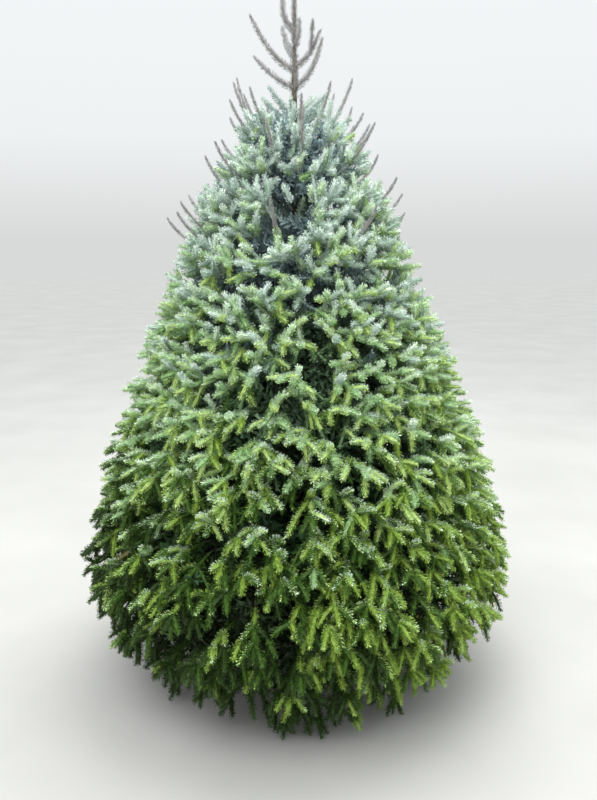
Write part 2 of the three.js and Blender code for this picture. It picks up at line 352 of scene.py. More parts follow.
for lobe in range(FLARE_LOBES):
    lobe_angle = 2 * math.pi * lobe / FLARE_LOBES
    for share in FLARE_STEPS:
        for vertex in trunk.data.vertices:
            aside = abs(wrapped(math.atan2(vertex.co.y, vertex.co.x) - lobe_angle))
            near = vertex.co.z < FLARE_HEIGHT * FLARE_RISE * share
            vertex.select = near and aside < math.pi / FLARE_LOBES
        for part in (trunk.data.edges, trunk.data.polygons):
            for element in part:
                element.select = False
        edit_mode()
        bpy.ops.mesh.select_mode(type="VERT")
        out = FLARE * FLARE_PULL
        bpy.ops.transform.translate(value=(out * math.cos(lobe_angle), out * math.sin(lobe_angle), 0))
        object_mode()
print("flare", FLARE_LOBES, "lobes")

# %% [markdown]
# The bark's relief
# Bark on a young fir is grey-brown and fairly smooth, with resin blisters and fine cracks that deepen
# towards the foot. Two Displace modifiers with procedural textures push that relief out of the mesh, so it
# also shows in the outline. The fine grain is left to the finish.

# %% Relief
def roughen(piece, name, size, depth):
    """Pushes a piece's surface in and out by a pattern of some size and depth."""
    texture = bpy.data.textures.new(name, "CLOUDS")
    texture.noise_scale = size
    modifier = piece.modifiers.new(name, "DISPLACE")
    modifier.texture = texture
    modifier.texture_coords = "LOCAL"
    modifier.strength = depth


def smooth(piece):
    piece.select_set(True)
    bpy.ops.object.shade_smooth()
    piece.select_set(False)


divide = trunk.modifiers.new("rings", "SUBSURF")
divide.subdivision_type = "SIMPLE"
divide.levels = 1
divide.render_levels = 1
roughen(trunk, "bark_swell", 0.05, 0.0035)
roughen(trunk, "bark_cracks", 0.009, 0.0022)
apply_modifiers(trunk)
smooth(settle(trunk, "trunk_bark"))
print("bark relief on", len(trunk.data.polygons), "faces")

# %% [markdown]
# The finish of the bark
# Grey lichen bloom over brown bark, darker in the cracks, and paler resin blisters that lie across the stem.
# Noise that is stretched along the stem makes the cracks, and noise squeezed along it makes the blisters.

# %% Bark finish
CRACKS_PER_METRE = 60
BLISTERS_PER_METRE = 45
BLOOM_PER_METRE = 14
GRAIN_DEPTH = 0.002


def stands_for(piece, material, nodes):
    """Finishes a piece, and lets it ride on the tree in place of some of the model's own solids."""
    piece.data.materials.clear()
    piece.data.materials.append(material)
    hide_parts(*nodes)
    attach(piece, "root")
    print(piece.name, len(piece.data.loops) - 2 * len(piece.data.polygons), "triangles")


def bark_material(name, dark, brown, grey, fineness):
    bark = Finish(name, Roughness=0.9)
    cracks = bark.noise(CRACKS_PER_METRE * fineness, 6, (1, 1, 0.28))
    blisters = bark.noise(BLISTERS_PER_METRE * fineness, 2, (0.5, 0.5, 1.6))
    bloom = bark.noise(BLOOM_PER_METRE, 4)
    tone = cracks * 0.6 + blisters * 0.25 + bloom * 0.25
    base = bark.ramp(tone, (0.38, colour(dark)), (0.55, colour(brown)), (0.68, colour(grey)))
    bump = bark.relief(cracks * 0.7 + blisters * 0.5, GRAIN_DEPTH)
    return bark.set(Base_Color=base, Roughness=bloom * 0.25 + 0.72, Normal=bump)


old_bark = bark_material("bark", "2a211a", "5d4d3f", "8a8276", 1)
twig_bark = bark_material("twig_bark", "2c2a20", "4f4a3a", "736d5a", 2.4)
pale_bark = bark_material("pale_bark", "7a726c", "a09893", "bdb7b2", 2.4)
stands_for(trunk, old_bark, ["trunk"])

# %% [markdown]
# The space that each mass keeps to
# The masses share the crown in six storeys, and each storey in sectors. A storey's floor and ceiling slope
# from the trunk down to the crown's edge, as a fir's boughs do. Its row says how many masses it has and how
# far the first is turned, how many sprays stand in each row, and how much its sprays arch, roll and droop.
# Each mass has its own seeded run of chance numbers, drawn in the same order as in the model's source, so
# that the sprays fall on the very same lines.

# %% Mass spaces
CROWN_SLACK = 1.05
SPACE_MARGIN = 0.004
GROUND_CLEARANCE = 0.012
SPACE_SEED = 1000
TRUNK_HEIGHTS = [0.17, 0.54, 0.88, 1.18, 1.38, 1.61, 2.085]
EDGE_HEIGHTS = [-0.03, 0.4, 0.77, 1.125, 1.49, 1.8, 2.085]
STOREYS = [
    dict(name="hem", masses=6, turn=0, rows=[4, 3, 3], arch=0.3, roll=35, droop=0.42),
    dict(name="low", masses=6, turn=0.5, rows=[3, 3, 3], arch=0.24, roll=45, droop=0.34),
    dict(name="middle", masses=5, turn=0.1, rows=[3, 3, 2], arch=0.1, roll=60, droop=0.2),
    dict(name="high", masses=4, turn=0.6, rows=[3, 3, 2], arch=-0.05, roll=65, droop=0.04),
    dict(name="shoulder", masses=3, turn=0.2, rows=[3, 3], arch=-0.12, roll=60, droop=-0.12),
    dict(name="crest", masses=3, turn=0.75, rows=[3, 3], arch=-0.2, roll=60, droop=-0.24),
]


def seeded_random(seed):
    state = seed

    def draw():
        nonlocal state
        state = (state * 1664525 + 1013904223) % 2**32
        return state / 2**32

    return draw


class MassSpace:
    """The part of the crown that one mass of foliage keeps to."""

    def __init__(self, level, number):
        self.level = level
        self.number = number
        self.storey = STOREYS[level]
        self.name = f"{self.storey['name']}_{number + 1}"
        self.half_angle = math.pi / self.storey["masses"]
        self.azimuth = 2 * self.half_angle * (number + self.storey["turn"]) - math.pi / 2
        self.edge = crown_radius((EDGE_HEIGHTS[level] + EDGE_HEIGHTS[level + 1]) / 2)
        self.draw = seeded_random(SPACE_SEED + 10 * level + number)

    def face_at(self, face, radius):
        share = radius / crown_radius(EDGE_HEIGHTS[face])
        return between(TRUNK_HEIGHTS[face], EDGE_HEIGHTS[face], share)

    def height_at(self, radius, up_share):
        return between(self.face_at(self.level, radius), self.face_at(self.level + 1, radius), up_share)

    def edge_height(self, up_share):
        return between(EDGE_HEIGHTS[self.level], EDGE_HEIGHTS[self.level + 1], up_share)

    def up_or_down(self, amount):
        return (self.draw() * 2 - 1) * amount

    def polar(self, point):
        """How far a point is from the trunk's line, and whether it is in the mass's sector."""
        x = point.x - trunk_x(point.z)
        from_middle = abs(wrapped(math.atan2(point.y, x) - self.azimuth))
        radius = math.hypot(x, point.y)
        return radius, radius * math.sin(self.half_angle - from_middle) > SPACE_MARGIN

    def holds(self, point):
        radius, in_sector = self.polar(point)
        return (
            in_sector
            and point.z > max(self.face_at(self.level, radius) + SPACE_MARGIN, GROUND_CLEARANCE)
            and point.z < self.face_at(self.level + 1, radius) - SPACE_MARGIN
            and radius < crown_radius(point.z) * CROWN_SLACK
        )

    def holds_spike(self, point):
        radius, in_sector = self.polar(point)
        beside = radius > crown_radius(point.z) * CROWN_SLACK + SPACE_MARGIN
        return self.holds(point) or (in_sector and (beside or point.z > CREST_HEIGHT + SPACE_MARGIN))


SPACES = [MassSpace(level, number) for level, row in enumerate(STOREYS) for number in range(row["masses"])]
print("mass spaces", len(SPACES))

# %% [markdown]
# The boughs
# A bough is one tapering limb that leaves the trunk level and runs out into its mass. By hand it is a Bezier
# curve with a round bevel, whose thickness is set at each point, and which is then made a mesh for the
# bark's relief. The limb goes on inside the foliage, where twigs leave it.

# %% Boughs
BOUGH_ROUNDNESS = 3
BOUGH_STEPS = 12
BOUGHED_STOREYS = 4
BOUGH_REACH = 0.34
STEM_REACH = 0.54
THICKEST_BOUGH_MM = 9


def add_limb(points, radii, roundness=BOUGH_ROUNDNESS, steps=BOUGH_STEPS):
    """A tapering limb through points, as a mesh."""
    bpy.ops.curve.primitive_bezier_curve_add()
    limb = bpy.context.object
    limb.data.bevel_depth = 1
    limb.data.bevel_resolution = roundness
    limb.data.resolution_u = steps
    limb.data.use_fill_caps = True
    spline = limb.data.splines[0]
    spline.bezier_points.add(len(points) - 2)
    for point, place, radius in zip(spline.bezier_points, points, radii):
        point.co = place
        point.radius = radius
        point.handle_left_type = "AUTO"
        point.handle_right_type = "AUTO"
    bpy.ops.object.convert(target="MESH")
    return bpy.context.object


def join_pieces(pieces, name):
    bpy.ops.object.select_all(action="DESELECT")
    for piece in pieces:
        piece.select_set(True)
    bpy.context.view_layer.objects.active = pieces[0]
    bpy.ops.object.join()
    return settle(bpy.context.object, name)


def bough_end(space):
    """Where a bough of the model ends, the way it points there, and its radius."""
    reach = space.edge * BOUGH_REACH
    tip = around_trunk(space.azimuth, reach, space.height_at(reach, 0.5))
    out = (around_trunk(space.azimuth, space.edge, space.height_at(space.edge, 0.5)) - tip).normalized()
    return tip, out, (THICKEST_BOUGH_MM - space.level) / 1000


def bough_limb(space):
    tip, out, radius = bough_end(space)
    root = around_trunk(space.azimuth, 0, space.height_at(0, 0.5))
    bend = tip - 0.5 * (tip - root).length * out
    middle = 0.25 * root + 0.5 * bend + 0.25 * tip
    end = tip + (STEM_REACH - BOUGH_REACH) * space.edge * out
    return add_limb([root, middle, tip, end], [radius * 1.5, radius * 1.25, radius, radius * 0.45])


boughed = [space for space in SPACES if space.level < BOUGHED_STOREYS]
boughs = join_pieces([bough_limb(space) for space in boughed], "boughs_bark")
roughen(boughs, "bough_swell", 0.02, 0.002)
apply_modifiers(boughs)
smooth(boughs)
stands_for(boughs, old_bark, bough_nodes)

# %% [markdown]
# How a fir branches
# Each year a fir twig makes one straight shoot from its end bud and a pair of shoots from the buds beside
# it, which gives the bird's-foot pattern. By hand one would model a few sprays and copy them over the
# boughs, but the eye soon finds the copies. So the sprays of the model's source are carried on by the fir's
# own rule. The crown has some twenty thousand shoots, so each is kept as the three points of a curve until
# the end.

# %% Shoots
class Shoot:
    """One year's growth: a curved piece of twig with its needles."""

    def __init__(self, space, start, bend, end, age=0, style="leafy", radii=(0.0055, 0.0045)):
        self.space = space
        self.radii = radii
        self.start = start
        self.bend = bend
        self.end = end
        self.age = age
        self.style = style
        self.length = (bend - start).length + (end - bend).length


def curve_point(start, bend, end, share):
    return (1 - share) ** 2 * start + 2 * share * (1 - share) * bend + share**2 * end


def skin_depth(point):
    """How far inside the crown's skin a place is."""
    return crown_radius(point.z) - math.hypot(point.x, point.y)


print("a shoot has a start, a bend and an end")

# %% [markdown]
# Where shoots may end
# A field-grown fir is lightly clipped, so its shoots end near one outline. It narrows to a blunt crest, and
# the hem draws in a little. Between the sprays there are dark hollows where one looks into the crown, and
# the hem is open between its lowest boughs. Each hollow is an oval on the crown's skin where no leafy shoot
# ends.

# %% Hollows and reach
LOWEST_TIP = 0.022
TIP_INSET = 0.01
CREST_TOP = 0.012
CREST_SLOPE = 1.9
HEM_INSET = 0.05
HEM_TOP = 0.4
HOLLOW_DEPTH = 0.16
HOLLOWS = [  # azimuth in degrees, height, half its width and half its own height
    (178, 1.88, 0.09, 0.045),
    (-93, 0.42, 0.025, 0.12),
    (-91, 0.72, 0.025, 0.06),
    (-116, 0.68, 0.06, 0.055),
    (-126, 0.36, 0.07, 0.05),
    (-92, 1.7, 0.08, 0.055),
    (-110, 1.63, 0.03, 0.045),
    (-100, 1.93, 0.025, 0.04),
    (-108, 0.05, 0.05, 0.15),
    (-64, 0.04, 0.045, 0.14),
    (-132, 0.07, 0.1, 0.15),
    (-38, 0.05, 0.11, 0.15),
    (8, 0.08, 0.09, 0.16),
    (48, 0.05, 0.07, 0.14),
    (88, 0.08, 0.1, 0.13),
    (131, 0.06, 0.08, 0.15),
    (172, 0.06, 0.1, 0.15),
    (-160, 0.07, 0.06, 0.14),
    (30, 0.7, 0.06, 0.06),
    (100, 0.95, 0.06, 0.06),
    (160, 0.62, 0.05, 0.07),
]


def in_hollow(point):
    """Whether a place near the crown's skin is in one of its dark hollows."""
    if skin_depth(point) > HOLLOW_DEPTH:
        return False
    turned = math.atan2(point.y, point.x)
    radius = crown_radius(point.z)
    for azimuth, height, half_width, half_height in HOLLOWS:
        aside = wrapped(turned - math.radians(azimuth)) * radius / half_width
        if aside**2 + ((point.z - height) / half_height) ** 2 < 1:
            return True
    return False


def in_reach(point):
    radius = math.hypot(point.x - trunk_x(point.z), point.y)
    inset = TIP_INSET + HEM_INSET * max(0, 1 - point.z / HEM_TOP)
    skin = crown_radius(point.z) * CROWN_SLACK - inset
    crest = CREST_TOP + CREST_SLOPE * (CREST_HEIGHT - point.z)
    within = LOWEST_TIP < point.z < CREST_HEIGHT and radius < min(skin, crest)
    return within and not in_hollow(point)


print("hollows", len(HOLLOWS))

# %% [markdown]
# The line of a spray
# A spray is led by one line that runs from deep in its mass out to the crown's skin. The low ones arch up
# and over, as heavy boughs do, and the high ones sweep upwards. The main lines are those of the model's
# source. A finer spray may end anywhere on its mass's part of the skin.

# %% Lines
ARCH_SHARES = (1, 0.6, 0.2, 0)
ARCH_CHECKS = 6
ARCH_AT = 0.6
ARCH_RISE = 0.8
FINE_ASIDE = 0.3
FINE_ROLL = 1.4


def arched(root, tip, storey, holds):
    """The bend of a line that arches as much as its room allows, or None where it has no room."""
    for share in ARCH_SHARES:
        bend = between(root, tip, ARCH_AT)
        bend.z += share * storey["arch"] * ARCH_RISE * (tip - root).length
        if all(holds(curve_point(root, bend, tip, i / ARCH_CHECKS)) for i in range(ARCH_CHECKS + 1)):
            return bend
    return None


def spray_line(space, row, rows, column, columns):
    """The line that a main spray grows along, as in the model's source, or None where it has no room."""
    jitter = space.up_or_down
    up_share = 0.5 + 1.1 * ((row + 0.5 + jitter(0.24)) / rows - 0.5)
    height = max(space.edge_height(up_share), LOWEST_TIP)
    across = ((column + 0.5 + jitter(0.2)) / columns) * 2 - 1
    turned = across * space.half_angle * 0.88
    tip_radius = crown_radius(height) * (1 + jitter(0.035))
    tip = around_trunk(space.azimuth + turned, tip_radius, height)
    root_radius = space.edge * (0.5 + jitter(0.06))
    root_height = space.height_at(root_radius, between(0.5, up_share, 0.5))
    root = around_trunk(space.azimuth + turned * 0.5, root_radius, root_height)
    size = 1 + jitter(0.1)
    roll = jitter(math.radians(space.storey["roll"]))
    bend = arched(root, tip, space.storey, space.holds)
    return bend and (root, bend, tip, size, roll)


def fine_line(space, jitter):
    """The line of a finer spray, which ends anywhere on the mass's part of the crown's skin."""
    turned = jitter(space.half_angle)
    up_share = 0.5 + jitter(0.5)
    height = max(space.edge_height(up_share), LOWEST_TIP)
    tip = around_trunk(space.azimuth + turned, crown_radius(height) * (0.97 + jitter(0.05)), height)
    root_radius = space.edge * (0.5 + jitter(0.06))
    root_height = space.height_at(root_radius, between(0.5, up_share, 0.5))
    root = around_trunk(space.azimuth + turned * 0.8 + jitter(FINE_ASIDE), root_radius, root_height)
    roll = jitter(math.radians(space.storey["roll"]) * FINE_ROLL)
    bend = arched(root, tip, space.storey, in_reach)
    return bend and (root, bend, tip, 1 + jitter(0.1), roll)


print("arches tried for each line", len(ARCH_SHARES))

# %% [markdown]
# The growth rule
# A spray's axis is cut into years, back from its tip. Each year's joint gives a twig to each side, and each
# side twig forks again until it is as old as its joint. Some joints also have a shoot that stands up like a
# candle or one that hangs. Gravity bends the low ones down, and light draws the high ones up. Old twigs
# inside the crown get no light and fork no more, but they still close the view to the trunk.

# %% Growth rule
GROWER_SEED = 5000
YEAR_LENGTH = 0.066
SIDE_SHARE = 0.92
SIDE_ANGLE = math.radians(50)
ONWARD_SHARE = 0.95
BARREN_SHARE = 0.45
LEAFY_YEARS = 3
CANDLE_SHARE = 0.34
HANGER_SHARE = 0.7
DROOP_PULL = 0.5
BEND_RISE = 0.25
END_FALL = 0.75
INNER_TWIGS = [3, 3, 2, 2, 2, 2]
INNER_SHARES = (0.15, 0.4, 0.7, 0.95)
INNER_INSET = 0.05
AXIS_STEPS = 40
SHORTER = (1, 0.85, 0.7)


def side_and_up(onward):
    """Two directions across a twig: one level, and one above it."""
    side = Vector((onward.y, -onward.x, 0)).normalized()
    return side, side.cross(onward)


class Grower:
    """Grows the twigs of one mass, with its own run of chance numbers."""

    def __init__(self, space):
        self.space = space
        self.draw = seeded_random(GROWER_SEED + 10 * space.level + space.number)
        self.shoots = []

    def jitter(self, amount):
        return (self.draw() * 2 - 1) * amount

    def shoot(self, start, direction, length, age, droop, style="leafy"):
        """Adds a shoot that ends within the crown's reach, or None."""
        for share in SHORTER:
            reach = length * share
            sag = Vector((0, 0, droop * reach))
            bend = start + direction * reach * 0.5 + sag * BEND_RISE
            end = start + direction * reach - sag * END_FALL
            if in_reach(end) and (style == "leafy" or skin_depth(end) > INNER_INSET):
                shoot = Shoot(self.space, start, bend, end, age, style)
                self.shoots.append(shoot)
                return shoot
        return None

    def side_twig(self, start, direction, years, length, droop):
        """A side twig of some years: a shoot, the next year's shoot, and perhaps one to each side of it."""
        shoot = self.shoot(start, direction, length, years - 1, droop)
        if shoot is None or years == 1:
            return
        onward = (shoot.end - shoot.bend).normalized()
        self.side_twig(shoot.end, onward, years - 1, length * ONWARD_SHARE, droop)
        side, _ = side_and_up(onward)
        for turn in (-1, 1):
            if self.draw() < BARREN_SHARE:
                continue
            angle = SIDE_ANGLE + self.jitter(0.2)
            out = onward * math.cos(angle) + side * turn * math.sin(angle)
            out.z += self.jitter(0.4)
            self.side_twig(shoot.end, out.normalized(), years - 1, length * SIDE_SHARE, droop)

    def axis(self, root, bend, tip, size, roll):
        """The spray's own axis, cut into years from its tip, with side twigs at each joint."""
        samples = [curve_point(root, bend, tip, i / AXIS_STEPS) for i in range(AXIS_STEPS + 1)]
        lengths = np.cumsum([0] + [(b - a).length for a, b in zip(samples, samples[1:])])
        droop = self.space.storey["droop"]

        def along(distance):
            share = float(np.interp(distance, lengths, np.arange(AXIS_STEPS + 1))) / AXIS_STEPS
            return curve_point(root, bend, tip, share)

        distance = lengths[-1]
        age = 0
        year = YEAR_LENGTH * size
        while distance > year * 0.5:
            before = max(distance - year, 0)
            start, end = along(before), along(distance)
            middle = along((before + distance) / 2)
            knee = 2 * middle - 0.5 * (start + end)
            onward = (end - knee).normalized()
            if age >= LEAFY_YEARS:
                self.shoots.append(Shoot(self.space, start, knee, end, age, "inner"))
                self.inner_joint(end, onward, year)
            elif not in_hollow(end):
                self.shoots.append(Shoot(self.space, start, knee, end, age))
                if age:
                    self.joint(end, onward, age, roll, year, droop)
            distance = before
            age += 1
        return along(0)

    def joint(self, start, onward, age, roll, year, droop):
        """The side twigs of one joint: one to each side, some that stand up and some that hang."""
        side, up = side_and_up(onward)
        tilted = side * math.cos(roll) + up * math.sin(roll)
        ways = [(tilted, age, SIDE_ANGLE), (-tilted, age, SIDE_ANGLE)]
        if self.draw() < CANDLE_SHARE - droop * 0.3:
            ways.append((up + side * self.jitter(0.6), 1, SIDE_ANGLE * 1.3))
        if self.draw() < HANGER_SHARE * (0.4 + 2 * max(droop, 0)):
            ways.append((Vector((0, 0, -1)) + side * self.jitter(0.5), 1, SIDE_ANGLE * 1.4))
        for way, years, angle in ways:
            angle += self.jitter(0.25)
            out = onward * math.cos(angle) + way * math.sin(angle)
            out.z += self.jitter(0.25) - droop * DROOP_PULL
            length = year * SIDE_SHARE * (1 + self.jitter(0.15))
            self.side_twig(start, out.normalized(), years, length, droop)

    def inner_joint(self, start, onward, year):
        """Old shaded side twigs, which fill the inside of the crown."""
        side, up = side_and_up(onward)
        for _ in range(INNER_TWIGS[self.space.level]):
            angle = self.draw() * 2 * math.pi
            out = onward * 0.5 + side * math.cos(angle) + up * math.sin(angle)
            self.shoot(start, out.normalized(), year * 1.3, 0, 0.1, "inner")

    def inner_side(self, start, bend, end):
        """Shaded twigs along the branch that leads out to a spray."""
        for share in INNER_SHARES:
            place = curve_point(start, bend, end, share)
            self.inner_joint(place, (end - start).normalized(), YEAR_LENGTH)


print("a year's shoot is", YEAR_LENGTH, "m long")

# %% A spray and the branch that feeds it
LIT_DEPTH = 0.075
FAR_AWAY = (9, 9, 9)
BRANCH_START = 0.1
BRANCH_RISE = 0.05
BRANCH_BEND = 0.4
feeders = []


def leafy_ends(shoots):
    """The ends of the leafy shoots that light falls on, and one far away so that there is always one."""
    lit = [shoot for shoot in shoots if shoot.style == "leafy" and skin_depth(shoot.end) < LIT_DEPTH]
    return np.array([shoot.end[:] for shoot in lit] + [FAR_AWAY])


def grow(grower, line):
    """Grows one spray and its branch, and gives the ends of its leafy shoots."""
    space = grower.space
    count = len(grower.shoots)
    root = grower.axis(*line)
    if space.level < BOUGHED_STOREYS:
        tip, out, _ = bough_end(space)
        start = tip + out * BRANCH_START * space.edge
    else:
        start = around_trunk(space.azimuth, 0, root.z - BRANCH_RISE)
    bend = root - (line[1] - root) * BRANCH_BEND
    feeders.append(Shoot(space, start, bend, root))
    grower.inner_side(start, bend, root)
    return leafy_ends(grower.shoots[count:])


print("branches start on the boughs below storey", BOUGHED_STOREYS + 1, "and on the trunk above")

# %% [markdown]
# Tufts round the trunk
# Between the boughs the trunk has short shoots of its own. Low down they are old and close the inside of the
# crown, and near the top they are young, rise steeply and fill out the crest.

# %% Tufts
TUFTS_FROM = 0.16
TUFTS_TO = 2.02
YOUNG_TUFTS_FROM = 1.5
TUFT_STEP = 0.0045
YOUNG_STEP = 1.4
TUFT_REACH = 0.36
YOUNG_REACH = 0.55
YOUNG_LENGTHS = (0.05, 0.14)
TUFT_RISE = 0.35
YOUNG_RISE = 0.9
GOLDEN_ANGLE = math.pi * (3 - math.sqrt(5))


def trunk_tufts():
    """Short shoots round the trunk, each a golden angle on from the last."""
    grower = Grower(SPACES[0])
    tufts = []
    height = TUFTS_FROM
    while height < TUFTS_TO:
        space = min(SPACES, key=lambda row: abs(row.height_at(0, 0.5) - height) + row.number * 0.001)
        young = height > YOUNG_TUFTS_FROM
        azimuth = len(tufts) * GOLDEN_ANGLE + grower.jitter(0.4)
        rise = (YOUNG_RISE if young else TUFT_RISE) + grower.jitter(0.3)
        direction = Vector((math.cos(azimuth), math.sin(azimuth), rise)).normalized()
        root = around_trunk(azimuth, trunk_radius(height) * 0.5, height)
        if young:
            length = max(YOUNG_LENGTHS[0], min(crown_radius(height) * YOUNG_REACH, YOUNG_LENGTHS[1]))
            length *= 1 + grower.jitter(0.3)
        else:
            length = crown_radius(height) * TUFT_REACH * (1 + grower.jitter(0.35))
        middle, end = (root + direction * length * share for share in (0.5, 1))
        tufts.append(Shoot(space, root, middle, end, 0, "leafy" if young else "inner"))
        height += TUFT_STEP * (YOUNG_STEP if young else 1)
    return tufts


shoots = trunk_tufts()
print("tufts", len(shoots))

# %% Main sprays
growers = [Grower(space) for space in SPACES]
lit_ends = leafy_ends(shoots)
for grower in growers:
    rows = grower.space.storey["rows"]
    for row, columns in enumerate(rows):
        for column in range(columns):
            line = spray_line(grower.space, row, len(rows), column, columns)
            if line:
                lit_ends = np.concatenate([lit_ends, grow(grower, line)])
print("main sprays", len(feeders))

# %% [markdown]
# Spikes
# Round the crest and the shoulder last summer's shoots stand up bare out of the foliage, as thin grey
# spikes. The model's source has a few in each mass, and finer ones stand between them. The lower half of
# each is dressed with needles, so that it seems to grow out of its spray.

# %% Spikes
SPIKES_ACROSS = [-0.8, -0.25, 0.3, 0.85]
SPIKES = {"shoulder": 0.095, "crest": 0.085}
SPIKE_SHARE = 0.85
SPIKE_DRESSED = 0.5
SPIKE_RADII = (0.0038, 0.0022)
SPIKE_LINE = (0.55, 0.98, 1.05)
SPIKE_STANDS_OFF = 0.014
SPIKE_CHECKS = 8
SPIKES_APART = 0.04
SPIKE_SEED = 7
SHORTEST_SPIKE = 0.065
SPIKE_SPREAD = 0.035
TALLER_FROM = 2.08
TALLER_BY = 0.6
FINE_SPIKES = [  # azimuth in degrees, and the height of the tip
    (180, 2.12), (170, 2.13), (164, 2.145), (150, 2.1), (139, 1.975), (-141, 1.905), (154, 1.95),
    (-144, 1.86), (150, 1.8), (-152, 1.72), (-56, 2.09), (-17, 2.12), (48, 2.11), (32, 2.06),
    (12, 2.03), (-36, 1.97), (25, 1.9), (41, 1.86), (-30, 1.81), (14, 1.76), (-84, 2.0),
    (76, 2.1), (98, 1.98), (118, 2.08), (60, 1.88), (108, 1.82),
]


def spike_at(space, turned, height, length):
    """A bare twig that stands up out of the crown at a place on its skin."""
    root_out, knee_out, tip_out = (crown_radius(height) * share for share in SPIKE_LINE)
    root = around_trunk(turned, root_out, height - length)
    knee = around_trunk(turned, knee_out, height)
    tip = around_trunk(turned, tip_out + SPIKE_STANDS_OFF, height + length)
    return Shoot(space, root, knee, tip, 0, "spike", SPIKE_RADII)


def spike(space, across):
    """A spike of the model's source, or None where it has no room."""
    height = space.edge_height(0.5 + space.up_or_down(0.25))
    turned = space.azimuth + across * space.half_angle * 0.7
    found = spike_at(space, turned, height, SPIKES[space.storey["name"]] * SPIKE_SHARE)
    shares = [i / SPIKE_CHECKS for i in range(SPIKE_CHECKS + 1)]
    inside = all(space.holds_spike(curve_point(found.start, found.bend, found.end, at)) for at in shares)
    return found if inside else None


def space_at(azimuth, height):
    """The mass space that a place on the crown's skin belongs to."""
    level = max(i for i, edge in enumerate(EDGE_HEIGHTS[:-1]) if edge <= height)
    here = [space for space in SPACES if space.level == level]
    return min(here, key=lambda space: -math.cos(azimuth - space.azimuth))


spiked = [space for space in SPACES if space.storey["name"] in SPIKES]
spikes = [found for space in spiked for across in SPIKES_ACROSS if (found := spike(space, across))]
random.seed(SPIKE_SEED)
for azimuth, tip_height in FINE_SPIKES:
    length = SHORTEST_SPIKE + SPIKE_SPREAD * random.random() + TALLER_BY * max(0, tip_height - TALLER_FROM)
    turned = math.radians(azimuth)
    height = tip_height - length
    found = spike_at(space_at(turned, height), turned, height, length)
    if all((found.end - other.end).length > SPIKES_APART for other in spikes):
        spikes.append(found)
for twig in spikes:
    end = curve_point(twig.start, twig.bend, twig.end, SPIKE_DRESSED)
    shoots.append(Shoot(twig.space, twig.start, between(twig.start, twig.bend, SPIKE_DRESSED), end))
print("spikes", len(spikes))

# %% [markdown]
# Finer sprays
# The main sprays leave the crown thin. On the real tree buds wake wherever light falls in, so a finer spray
# grows wherever no leafy shoot ends near by. That fills the crown evenly and keeps the hollows dark.

# %% Finer sprays
TRIES = 320
GAPS = [0.063, 0.058, 0.054, 0.048, 0.049, 0.05]

for grower in growers:
    gap = GAPS[grower.space.level]
    for _ in range(TRIES):
        line = fine_line(grower.space, grower.jitter)
        if line and np.linalg.norm(lit_ends - line[2], axis=1).min() > gap:
            lit_ends = np.concatenate([lit_ends, grow(grower, line)])
    shoots += grower.shoots
print("sprays", len(feeders), "shoots", len(shoots))

# %% [markdown]
# The leader and its bare twigs
# Above the crest the leader stands bare, with whorls of twigs that leave it level and sweep up. Each is a
# limb on a curve, as the boughs are. Their needles are short and pressed to the bark, so the twigs read as
# rough grey rods against the sky.

# %% Leader twigs
LEADER_TWIGS = [
    dict(height=2.102, azimuth=176, rise=37, length=0.17),
    dict(height=2.104, azimuth=-18, rise=57, length=0.178),
    dict(height=2.106, azimuth=88, rise=46, length=0.16),
    dict(height=2.158, azimuth=192, rise=48, length=0.222),
    dict(height=2.172, azimuth=8, rise=53, length=0.146, fork=0.095),
    dict(height=2.208, azimuth=118, rise=50, length=0.14),
    dict(height=2.24, azimuth=-55, rise=70, length=0.08),
    dict(height=2.285, azimuth=182, rise=76, length=0.145),
]
LEADER_TWIG_RADII = (0.0062, 0.003)
FORK_RADII = (0.0036, 0.002)
KNEE_OUT = 0.35
KNEE_UP = 0.12
FORK_AT = 0.6
FORK_OUT = 0.4
FORK_UP = 0.9
ROD_ROUNDNESS = 2
ROD_STEPS = 8


def leader_twig(row):
    """The curves of a leader twig and of its fork, as shoots."""
    turned = math.radians(row["azimuth"])
    rise = math.radians(row["rise"])
    height, length = row["height"], row["length"]
    root = around_trunk(turned, 0, height)
    knee = around_trunk(turned, length * KNEE_OUT, height + length * KNEE_UP)
    tip = around_trunk(turned, length * math.cos(rise), height + length * math.sin(rise))
    twigs = [Shoot(None, root, knee, tip, 0, "pressed", LEADER_TWIG_RADII)]
    if "fork" in row:
        base = curve_point(root, knee, tip, FORK_AT)
        aside = Vector((math.sin(turned) * FORK_OUT, -math.cos(turned) * FORK_OUT, FORK_UP))
        out = aside.normalized()
        end = base + out * row["fork"]
        twigs.append(Shoot(None, base, (base + end) / 2, end, 0, "pressed", FORK_RADII))
    return twigs


def rod(twig):
    """The bare wood of a twig, as a limb."""
    middle = curve_point(twig.start, twig.bend, twig.end, 0.5)
    thick, thin = twig.radii
    radii = [thick, (thick + thin) / 2, thin]
    return add_limb([twig.start, middle, twig.end], radii, ROD_ROUNDNESS, ROD_STEPS)


leader_twigs = [twig for row in LEADER_TWIGS for twig in leader_twig(row)]
leader_bark = join_pieces([rod(twig) for twig in leader_twigs], "leader_twigs_bark")
roughen(leader_bark, "twig_knots", 0.006, 0.0016)
apply_modifiers(leader_bark)
stands_for(leader_bark, pale_bark, leader_nodes)

# %% [markdown]
# Needles from arrays
# A shoot carries its needles in a spiral, each turned by the golden angle from the last. They stand out like
# the bristles of a brush, and lean less and less towards the bud, which rounds the shoot's tip. At this
# distance a needle is a mere sliver, so each is one triangle, with its broad end at the bark or at the tip
# by turns, and twisted on its own axis, so that a shoot looks as full from the side as from its end. The lit
# shoots have the finest needles. Shaded and old shoots are only glimpsed, so theirs are fewer and broader.
# There are far too many to model by hand, so all are worked out at once with arrays.

# %% Arrays of directions and curves
UP = (0, 0, 1.0)
TINY = 1e-6


